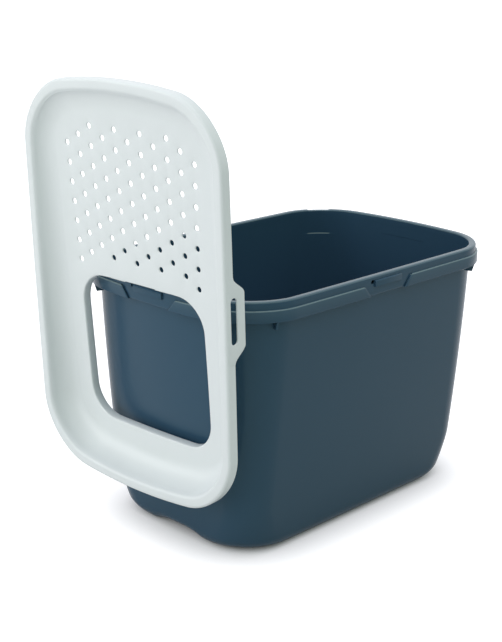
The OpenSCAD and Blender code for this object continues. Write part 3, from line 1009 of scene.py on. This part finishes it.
    def pockets(self) -> list[Skin]:
        """Returns the cutters of the pockets beside the catch blocks, one for each side."""
        h = self.pocket / 2
        z, y = self.catch_top + 1 - h, -self.catch_length / 2 - self.pocket
        corners = [(y + 0.4, -h), (y + self.pocket - 0.2, -h), (y + self.pocket - 0.2, h),
                   (y + 3.0, h), (y + 0.4, h - 2.6)]
        made = []
        for turn in range(4):
            cutter = Skin()
            face = self.reach(turn)
            rows = cutter.loft([[(x, v, z + w) for v, w in corners]
                                for x in (face - self.rim_wall - 0.6, face + 1)])
            cutter.faces += [tuple(reversed(rows[0])), tuple(rows[1])]
            made.append(cutter.turned(quarter_turns(turn)))
        return made

    def build(self) -> bpy.types.Object:
        """Returns the finished bin."""
        skin = carved(self.tub(), self.pockets())
        for part in (self.gap_panels(), self.skirt(), self.gussets()):
            skin.join(part)
        for turn in range(4):
            block = self.catch(self.reach(turn))
            skin.join(block.turned(quarter_turns(turn)))
        mesh = skin.mesh("bin_moulding")
        self.paint_edge_highlights(mesh)
        return finish_piece("bin_moulding", mesh, SLATE, Body.BIN, "bin")

    def paint_edge_highlights(self, mesh: bpy.types.Mesh) -> None:
        """Paints highlights on the rim's edges and the recess's ledge, as a mask on an attribute.
        """
        r, top = self.shelf_radius, self.shelf_z
        loop = self.rim.outline().inset(self.shelf - 0.9).points()
        marks = []
        for vertex in mesh.vertices:
            x, y, z = vertex.co / MM
            # Painted highlight: full along the shelf's rounded edge and the recess's ledge, fainter
            # on the collar's top.
            mark = 0.0
            if top - r - 0.2 < z < top + 0.1 and not inside(loop, (x, y)):
                mark = smooth_step(1.25 - (top - z) / r)
            elif -0.2 < z - self.ledge_z < self.ledge_rise + 0.2:
                mark = self.nook_weight(x, y, self.nook_end)
            elif z > self.height - self.nook_dip - 0.8:
                mark = self.collar_highlight
            marks.append(mark)
        mesh.attributes.new(EDGE_ATTRIBUTE, "FLOAT", "POINT").data.foreach_set("value", marks)


def stamping_tree() -> bpy.types.NodeTree:
    """Builds the tree that sets a stamp on each point of its mesh, turned by the point's heading.

    Returns:
        The tree. Its inputs are the points, the stamp and the finish.
    """
    net = NodeTree.group("stamping", "GeometryNodeTree",
                         {"Geometry": "Geometry", "Stamp": "Object", "Finish": "Material"},
                         {"Geometry": "Geometry"})
    given = net.add("NodeGroupInput").outputs
    heading = net.add("GeometryNodeInputNamedAttribute", {"Name": "heading"}, data_type="FLOAT")
    euler = net.add("ShaderNodeCombineXYZ", {"Z": heading.outputs[0]}).outputs[0]
    turn = net.add("FunctionNodeEulerToRotation", {"Euler": euler}).outputs[0]
    net.stamp(given["Geometry"], given, turn)
    return net.tree


@dataclass
class Perforations:
    """The lattice of bores in the lid's floor, in staggered columns that fan out upwards."""

    columns: int = 11
    rows: int = 15
    first_reach: int = 3
    last_reach: int = 5
    pitch: float = 28.3
    fan: float = 0.06
    last_row: float = 25.0
    bore: float = 3.95
    edge: float = 1.25
    segments: int = 24

    @property
    def column_step(self) -> float:
        """Distance between columns."""
        return self.pitch * math.sqrt(3) / 2

    def centres(self) -> list[Point2]:
        """Returns the bores' centres, on the floor, by the same rule as the node tree."""
        found = []
        last = self.rows - 1
        for i in range(self.rows):
            for c in range(-(self.columns // 2), self.columns // 2 + 1):
                if ((c + i) % 2 == 0 or (i == 0 and abs(c) > self.first_reach)
                        or (i == last and abs(c) < self.last_reach)):
                    continue
                widen = 1 + self.fan * (0.5 - i / last)
                found.append((c * self.column_step * widen,
                              self.last_row + (last - i) * self.pitch / 2))
        return found

    def circle(self, radius: float, centre: Point2 = (0.0, 0.0)) -> list[Point2]:
        """Returns the points of a circle round a bore."""
        angles = [2 * math.pi * k / self.segments for k in range(self.segments)]
        return [(centre[0] + radius * math.cos(a), centre[1] + radius * math.sin(a))
                for a in angles]

    def rim(self, thickness: float) -> Skin:
        """Returns the wall of one bore with its rounded edges, through the floor."""
        skin = Skin()
        levels = [(self.bore + out, -down) for down, out in rounding(self.edge, EDGE_DEGREES)]
        levels += [(r, -thickness - z) for r, z in reversed(levels)]
        skin.loft([[(x, y, z) for x, y in self.circle(r)] for r, z in levels])
        return skin

    def tree(self) -> bpy.types.NodeTree:
        """Builds the tree that lays out the lattice and sets a rim at each of its points.

        Returns:
            The tree. Its inputs are the lattice's sizes in metres, the stamp and the finish.
        """
        net = NodeTree.group(
            "perforations", "GeometryNodeTree",
            {"Geometry": "Geometry", "Column Step": self.column_step * MM,
             "Row Step": self.pitch / 2 * MM, "Last Row": self.last_row * MM, "Fan": self.fan,
             "Stamp": "Object", "Finish": "Material"}, {"Geometry": "Geometry"})
        given = net.add("NodeGroupInput").outputs
        end = float(self.rows - 1)
        grid = net.add("GeometryNodeMeshGrid", {
            "Size X": float(self.columns - 1), "Size Y": end, "Vertices X": self.columns,
            "Vertices Y": self.rows}).outputs[0]
        place = net.add("ShaderNodeSeparateXYZ", {
            "Vector": net.add("GeometryNodeInputPosition").outputs[0]}).outputs
        column = net.math("ROUND", place["X"])
        row = net.math("ROUND", net.math("SUBTRACT", end / 2, place["Y"]))
        even = net.math("SUBTRACT", 1.0,
                        net.math("FLOORED_MODULO", net.math("ADD", column, row), 2.0))
        reach = net.math("ABSOLUTE", column)
        first = net.math("MULTIPLY", net.math("LESS_THAN", row, 0.5),
                         net.math("GREATER_THAN", reach, self.first_reach + 0.5))
        last = net.math("MULTIPLY", net.math("GREATER_THAN", row, end - 0.5),
                        net.math("LESS_THAN", reach, self.last_reach - 0.5))
        absent = net.math("GREATER_THAN", net.math("ADD", even, net.math("ADD", first, last)), 0.5)
        lean = net.math("SUBTRACT", 0.5, net.math("DIVIDE", row, end))
        widen = net.math("MULTIPLY_ADD", lean, given["Fan"], 1.0)
        x = net.math("MULTIPLY", net.math("MULTIPLY", column, given["Column Step"]), widen)
        y = net.math("MULTIPLY_ADD", net.math("SUBTRACT", end, row), given["Row Step"],
                     given["Last Row"])
        kept = net.add("GeometryNodeDeleteGeometry", {"Geometry": grid, "Selection": absent},
                       domain="POINT").outputs[0]
        # The rule reads the plain grid's positions, so the points are moved after it.
        spot = net.add("ShaderNodeCombineXYZ", {"X": x, "Y": y}).outputs[0]
        points = net.add("GeometryNodeSetPosition", {"Geometry": kept, "Position": spot}).outputs[0]
        net.stamp(points, given)
        return net.tree

    def build(self, thickness: float) -> Skin:
        """Returns the rims of all the bores, in the floor's own plane."""
        return stamped(self.rim(thickness), bpy.data.meshes.new("perforations"), self.tree(),
                       WHITE)


@dataclass
class LidMoulding:
    """The lid in its own frame: X across, Y along, its lip at Z = 0 and its skirt below."""

    rim: RimSizes = field(default_factory=RimSizes)
    bores: Perforations = field(default_factory=Perforations)
    wall: float = 2.6
    lip_radius: float = 4.5
    lip_width: float = 16.8
    slope_width: float = 29.0
    basin_depth: float = 30.0
    basin_fall: float = 0.04
    entry_width: float = 246.4
    entry_top: float = 7.5
    entry_end: float = -217.2
    entry_radius: float = 45.0
    entry_bow: float = 3.0
    flange_depth: float = 11.0
    flange_wall: float = 2.5
    clip_root: float = 6.0
    lean: float = 2.5
    yaw: float = 1.9
    hung_y: float = -336.0
    hung_z: float = 386.375
    hook_at: float = 30.0
    hook_width: float = 30.0
    hook_wall: float = 3.2
    hook_drop: float = 9.0
    hook_gap: float = 1.6
    rest_z: float = 394.3
    rim_in: float = 14.2

    def yawed(self) -> Matrix:
        """Returns the turn about the vertical through the hung lid."""
        at = Vector((0, self.hung_y, 0))
        return (Matrix.Translation(at) @ Matrix.Rotation(math.radians(self.yaw), 4, "Z")
                @ Matrix.Translation(-at))

    def place(self) -> Matrix:
        """Returns the hung lid's place in the row frame, in millimetres."""
        return (self.yawed() @ Matrix.Translation((0, self.hung_y, self.hung_z))
                @ Matrix.Rotation(math.radians(90 + self.lean), 4, "X"))

    def floor_frame(self) -> Matrix:
        """Returns the basin floor's plane in the lid's frame."""
        return (Matrix.Translation((0, 0, -self.basin_depth))
                @ Matrix.Rotation(math.atan(self.basin_fall), 4, "X"))

    @property
    def stretch(self) -> float:
        """Length along the sloping floor for one of plan."""
        return 1 / math.cos(math.atan(self.basin_fall))

    def floor_z(self, y: float) -> float:
        """Returns the height of the basin's floor."""
        return -self.basin_depth + self.basin_fall * y

    def lid_ring(self, inset: float, share: float, dz: float) -> list[Point3]:
        """Returns a ring of the lid at a share of the way down to the floor."""
        return [(x, y, share * self.floor_z(y) + dz) for x, y in self.lid_points(inset)]

    def lid_points(self, inset: float) -> list[Point2]:
        """Returns the outline's points, with two rows of them on the ends of each clip."""
        o = self.rim.outline().inset(inset)
        y = o.length / 2 - o.radius
        half = self.rim.clip_reach / (1 - o.end_bow / (o.length / 2))
        side = [lerp(y, half, k / 20) for k in range(1, 21)]
        side += [lerp(half, -half, k / 16) for k in range(1, 17)]
        return o.points(side + [lerp(-half, -y, k / 20) for k in range(1, 20)])

    def slope_ring(self, angle: float, below: float) -> list[Point3]:
        """Returns a ring of the basin's side at an angle of its quarter ellipse."""
        c, s = math.cos(angle), math.sin(angle)
        return self.lid_ring(self.lip_width + self.slope_width * (1 - c) - below * c, s, -below * s)

    def window(self, ring: Sequence[Point3], k: int) -> bool:
        """Returns whether the stretch of a ring after its point k is in a clip's window."""
        a, b = ring[k], ring[(k + 1) % len(ring)]
        return (abs(a[0]) > self.rim.width / 2 - 8
                and abs(a[1] + b[1]) / 2 < self.rim.clip_reach - 0.5)

    def shell(self) -> Skin:
        """Returns the lip, skirt and basin side, open where the floor and the clips go."""
        skin = Skin()
        t, skirt, r, lip = self.wall, self.rim.lid_skirt, self.lip_radius, self.lip_width
        angles = [math.radians(a)
                  for a in (11, 16, 21, 26, 31, 37, 43, 49, 55, 61, 67, 73, 79, 85, 90)]
        frame = self.floor_frame()
        back = [tuple(frame @ Vector((x, y * self.stretch, -t)))
                for x, y in self.lid_points(lip + self.slope_width)]
        under = [self.slope_ring(a, t) for a in reversed(angles[:-1])]
        under += [self.lid_ring(i, 0, z) for i, z in (
            (lip - t - 0.7, -t - 2.0), (lip - t - 1.8, -t), (r + 1.5, -t), (r, -t - 0.3),
            (t + 0.3, -r - 0.4), (t, -self.clip_root))]
        hem = [self.lid_ring(i, 0, z) for i, z in (
            (t, -skirt + 0.5), (t - 0.5, -skirt), (0.5, -skirt), (0, -skirt + 0.5))]
        over = [(0.0, -self.clip_root)]
        over += [(i, -down) for i, down in rounding(r, (0, 12, 24, 36, 48, 60, 72, 84, 90))]
        over += [(lip - i, z) for i, z in ((8, 0), (5, 0), (3.8, -0.15), (2.6, -0.6), (1.5, -1.5),
                                           (0.5, -3.0))]
        top = [self.lid_ring(i, 0, z) for i, z in over] + [self.slope_ring(a, 0) for a in angles]
        rings = [back] + under + hem + top
        rows = [skin.add(ring) for ring in rings]
        low, high = len(under), len(under) + len(hem) + 1
        n = len(rows[0])
        gaps = [k for k in range(n) if self.window(rings[low], k)]
        for i in range(len(rows) - 1):
            cut = set(gaps) if low <= i < high else set()
            for k in range(n):
                if k not in cut:
                    j = (k + 1) % n
                    skin.faces.append((rows[i][k], rows[i][j], rows[i + 1][j], rows[i + 1][k]))
        for k in gaps:
            j = (k + 1) % n
            skin.faces.append((rows[low][k], rows[high][k], rows[high][j], rows[low][j]))
            for edge in (k, j):
                other = (k - 1) % n if edge == k else j
                if other not in gaps:
                    skin.faces.append(tuple(rows[i][edge] for i in range(low, high + 1)))
        return skin

    def floor(self) -> Skin:
        """Returns the basin's floor with its bores and the entry's flange, in the lid's frame."""
        skin = Skin()
        edge = [(x, y * self.stretch)
                for x, y in self.lid_points(self.lip_width + self.slope_width)]
        length, middle = self.entry_top - self.entry_end, (self.entry_top + self.entry_end) / 2

        def entry(grow: float, z: float) -> list[Point3]:
            """Returns the entry's outline grown by a distance."""
            o = Outline(self.entry_width + 2 * grow, length + 2 * grow, self.entry_radius + grow,
                        self.entry_bow, 1.0, 24, 24, 24)
            return [(x, y + middle * self.stretch, z) for x, y in o.points()]

        t, f, tip = self.wall, self.flange_wall, -self.wall - self.flange_depth
        profile = [(2.4, 0), (1.6, -0.12), (0.85, -0.5), (0.3, -1.2), (0, -2.4), (0, -6),
                   (0, tip + 0.9), (0.3, tip + 0.25), (0.9, tip), (f - 0.9, tip),
                   (f - 0.3, tip + 0.25), (f, tip + 0.9), (f, -t - 1.8), (f + 0.4, -t - 0.7),
                   (f + 1.5, -t)]
        rows = skin.loft([entry(g, z) for g, z in profile])
        mouths = [self.bores.circle(self.bores.bore + self.bores.edge, c)
                  for c in self.bores.centres()]
        for z, hole, flip in ((0.0, rows[0], False), (-t, rows[-1], True)):
            outer, *holes = [skin.add([(x, y, z) for x, y in loop]) for loop in [edge] + mouths]
            skin.fill([outer, hole] + holes, z, flip)
        skin.join(self.bores.build(t))
        return skin.turned(self.floor_frame())

    def hooks(self) -> Skin:
        """Returns the two hooks, in the row frame before the lid's yaw."""
        skin = Skin()
        far = self.hook_at + self.hook_width
        rim = self.rim.outline().inset(self.rim_in)
        front = -rim.length / 2 + rim.end_bow * (far / (rim.width / 2)) ** 2
        y_in = front + self.hook_gap + far * math.sin(math.radians(self.yaw))
        y_out, z, t = self.hung_y + 31.0, self.rest_z, self.hook_wall
        profile = [(y_out, z), (y_in - 1.2, z)] + arc((y_in - 1.2, z - 1.2), 1.2, 90, 0, 4)
        profile += [(y_in, z - self.hook_drop - 0.3), (y_in + t, z - self.hook_drop - 0.3)]
        profile += arc((y_in, z), t, 0, 90, 8) + [(y_out, z + t)]
        hook = plate(profile, [], self.hook_width, 0.6).turned(UPRIGHT)
        for x in (self.hook_at, -far):
            skin.join(hook.turned(Matrix.Translation((x, 0, 0))))
        return skin

    def build(self) -> bpy.types.Object:
        """Returns the finished lid."""
        skin = self.shell()
        skin.join(self.floor())
        skin = skin.turned(self.place())
        skin.join(self.hooks().turned(self.yawed()))
        mesh = skin.mesh("lid_moulding")
        return finish_piece("lid_moulding", mesh, WHITE, Body.LID, "lid")


@dataclass
class SideClip:
    """A flexing clip of the lid, with its slot."""

    lid: LidMoulding
    side: int
    slot_length: float = 64.0
    slot_width: float = 12.0
    slot_at: float = 10.0
    edge: float = 0.4
    steps: int = 18

    def build(self) -> bpy.types.Object:
        """Returns the finished clip."""
        rim, wall = self.lid.rim, self.lid.wall
        root, half = -self.lid.clip_root + self.edge, rim.clip_reach
        drop = rim.clip_depth - rim.lid_skirt
        shares = [k / self.steps for k in range(self.steps + 1)]
        curve = [(half - rim.clip_flare * s,
                  -rim.lid_skirt - drop * (1 - math.cos(math.pi * s)) / 2) for s in shares]
        outer = [(half, root), (-half, root)] + [(-y, z) for y, z in curve] + curve[::-1]
        r = self.slot_width / 2
        middle, reach = -self.slot_at - r, self.slot_length / 2 - r
        slot = arc((reach, middle), r, -90, 90, 12) + arc((-reach, middle), r, 90, 270, 12)
        skin = plate(outer, [slot], wall, self.edge)
        set_out = Matrix.Translation((rim.width / 2 - wall, 0, 0)) @ UPRIGHT
        mirror = Matrix.Diagonal((self.side, 1, 1, 1))
        name, body = (("right_clip", Body.RIGHT_CLIP) if self.side > 0
                      else ("left_clip", Body.LEFT_CLIP))
        mesh = skin.turned(mirror @ set_out).turned(self.lid.place()).mesh(name + "_moulding")
        return finish_piece(name + "_moulding", mesh, WHITE, body, name)


@dataclass
class PhotoCamera:
    """The camera fitted to the photograph, for the part's own sizes."""

    focal_px: float = 1325.95
    azimuth: float = 44.594
    elevation: float = 17.144
    roll: float = 0.367
    across: float = 59.804
    up: float = -122.502
    distance: float = 2112.584
    target_z: float = 150.0
    sensor: float = 36.0

    def build(self) -> bpy.types.Object:
        """Returns the camera, set as the scene's own."""
        a, e, r = (math.radians(v) for v in (self.azimuth, self.elevation, self.roll))
        ahead = Vector((-math.sin(a) * math.cos(e), math.cos(a) * math.cos(e), -math.sin(e)))
        right0 = Vector((math.cos(a), math.sin(a), 0))
        up0 = right0.cross(ahead)
        right = right0 * math.cos(r) + up0 * math.sin(r)
        up = up0 * math.cos(r) - right0 * math.sin(r)
        at = Vector((0, 0, self.target_z)) - ahead * self.distance
        at -= right * self.across + up * self.up
        data = bpy.data.cameras.new("photo_camera")
        data.sensor_fit = "HORIZONTAL"
        data.sensor_width = self.sensor
        data.lens = self.focal_px * self.sensor / PHOTO_WIDTH
        data.clip_start, data.clip_end = 0.05, 60.0
        camera = new_object("photo_camera", data)
        turn = Matrix((right, up, -ahead)).transposed().to_4x4()
        camera.matrix_world = Matrix.Translation(at * MM) @ turn
        bpy.context.scene.camera = camera
        return camera


@dataclass(frozen=True)
class Softbox:
    """A square soft lamp that faces the object."""

    name: str
    at: Point3
    size: float
    watts: float
    color: Point3 = (1.0, 1.0, 1.0)
    aim: Point3 = (0.0, 0.0, 0.25)

    def build(self) -> None:
        """Adds the lamp."""
        data = bpy.data.lights.new(self.name, "AREA")
        data.shape, data.size, data.energy, data.color = "SQUARE", self.size, self.watts, self.color
        lamp = new_object(self.name, data)
        lamp.location = self.at
        way = Vector(self.aim) - Vector(self.at)
        lamp.rotation_euler = way.to_track_quat("-Z", "Y").to_euler()


@dataclass
class Studio:
    """A pale floor, a white surround and soft lamps."""

    floor_size: float = 30.0
    floor_albedo: float = 0.62
    floor_lift: float = 0.75
    gloss_lift: float = 0.3
    shadow_reach: float = 0.07
    level_air: Point3 = (0.47, 0.48, 0.46)
    right_air: Point3 = (0.26, 0.42, 0.22)
    high_air: Point3 = (1.0, 1.0, 1.12)
    softboxes: tuple[Softbox, ...] = (
        Softbox("left_softbox", at=(-1.9, -2.6, 1.4), size=2.2, watts=25.0),
        Softbox("front_softbox", at=(-0.2, -3.0, 0.9), size=1.6, watts=16.0,
                color=(0.98, 0.97, 1.0)),
        Softbox("top_softbox", at=(0.3, 0.1, 3.0), size=1.2, watts=14.0))

    def shown(self, net: NodeTree) -> bpy.types.NodeSocket:
        """Returns 1 for what the camera, a gloss or a clear piece sees, and 0 for lighting."""
        path = net.add("ShaderNodeLightPath").outputs
        seen = net.math("MAXIMUM", path["Is Camera Ray"], path["Is Glossy Ray"])
        return net.math("MAXIMUM", seen, path["Is Transmission Ray"])

    def ramp(self, net: NodeTree, value: object, start: float, end: float,
             low: float = 0.0) -> bpy.types.NodeSocket:
        """Returns a value that goes from low to 1 as another goes from start to end."""
        return net.add("ShaderNodeMapRange", {"Value": value, "From Min": start, "From Max": end,
                                              "To Min": low}).outputs[0]

    def world(self) -> None:
        """Sets the world: white where it is seen, and a plain level of light elsewhere."""
        world = bpy.data.worlds.new("surround")
        bpy.context.scene.world = world
        net = NodeTree.emptied(world)
        place = net.add("ShaderNodeTexCoord").outputs["Generated"]
        way = net.add("ShaderNodeSeparateXYZ", {"Vector": place}).outputs
        level = net.mix(self.ramp(net, way["X"], -0.1, 0.8), self.level_air, self.right_air)
        light = net.mix(self.ramp(net, way["Z"], 0.25, 0.75), level, self.high_air)
        shown = net.mix(self.shown(net), light, (1.0, 1.0, 1.0))
        back = net.add("ShaderNodeBackground", {"Color": shown})
        net.add("ShaderNodeOutputWorld", {"Surface": back.outputs[0]})

    def floor(self) -> None:
        """Adds the floor: white where it is seen, but for the shadow close round the object."""
        mesh = bpy.data.meshes.new("floor")
        s, c = self.floor_size, self.floor_albedo
        mesh.from_pydata([(x * s, y * s, 0) for x, y in QUADRANTS], [], [(2, 3, 0, 1)])
        floor = new_object("floor", mesh)
        material = bpy.data.materials.new("pale_floor")
        net = NodeTree.emptied(material)
        matte = net.add("ShaderNodeBsdfDiffuse", {"Color": (c, c, c, 1)})
        place = net.add("ShaderNodeTexCoord").outputs["Object"]
        away = net.add("ShaderNodeVectorMath", {0: place}, operation="LENGTH").outputs["Value"]
        far = self.ramp(net, away, 0.8, 2.5, self.floor_lift)
        open_air = net.add("ShaderNodeAmbientOcclusion", {"Distance": self.shadow_reach},
                           samples=8).outputs["AO"]
        glossy = net.add("ShaderNodeLightPath").outputs["Is Glossy Ray"]
        dimmed = net.math("MULTIPLY", glossy, 1 - self.gloss_lift)
        seen = net.math("SUBTRACT", self.shown(net), dimmed)
        lift = net.math("MULTIPLY", net.math("MULTIPLY", seen, far), open_air)
        glow = net.add("ShaderNodeEmission", {"Color": (1, 1, 1, 1), "Strength": lift})
        both = net.add("ShaderNodeAddShader", {0: matte.outputs[0], 1: glow.outputs[0]})
        net.add("ShaderNodeOutputMaterial", {"Surface": both.outputs[0]})
        mesh.materials.append(material)

    def build(self) -> None:
        """Sets up the floor, the world and the lamps."""
        self.world()
        self.floor()
        for softbox in self.softboxes:
            softbox.build()


def main() -> None:
    """Builds the pieces around the frame."""
    logging.basicConfig(level=logging.INFO, format="%(name)s: %(message)s")
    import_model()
    bpy.context.scene.view_settings.view_transform = "Standard"
    PhotoCamera().build()
    Studio().build()
    BinMoulding().build()
    lid = LidMoulding()
    lid.build()
    for side in (1, -1):
        SideClip(lid, side).build()


if __name__ == "__main__":
    main()
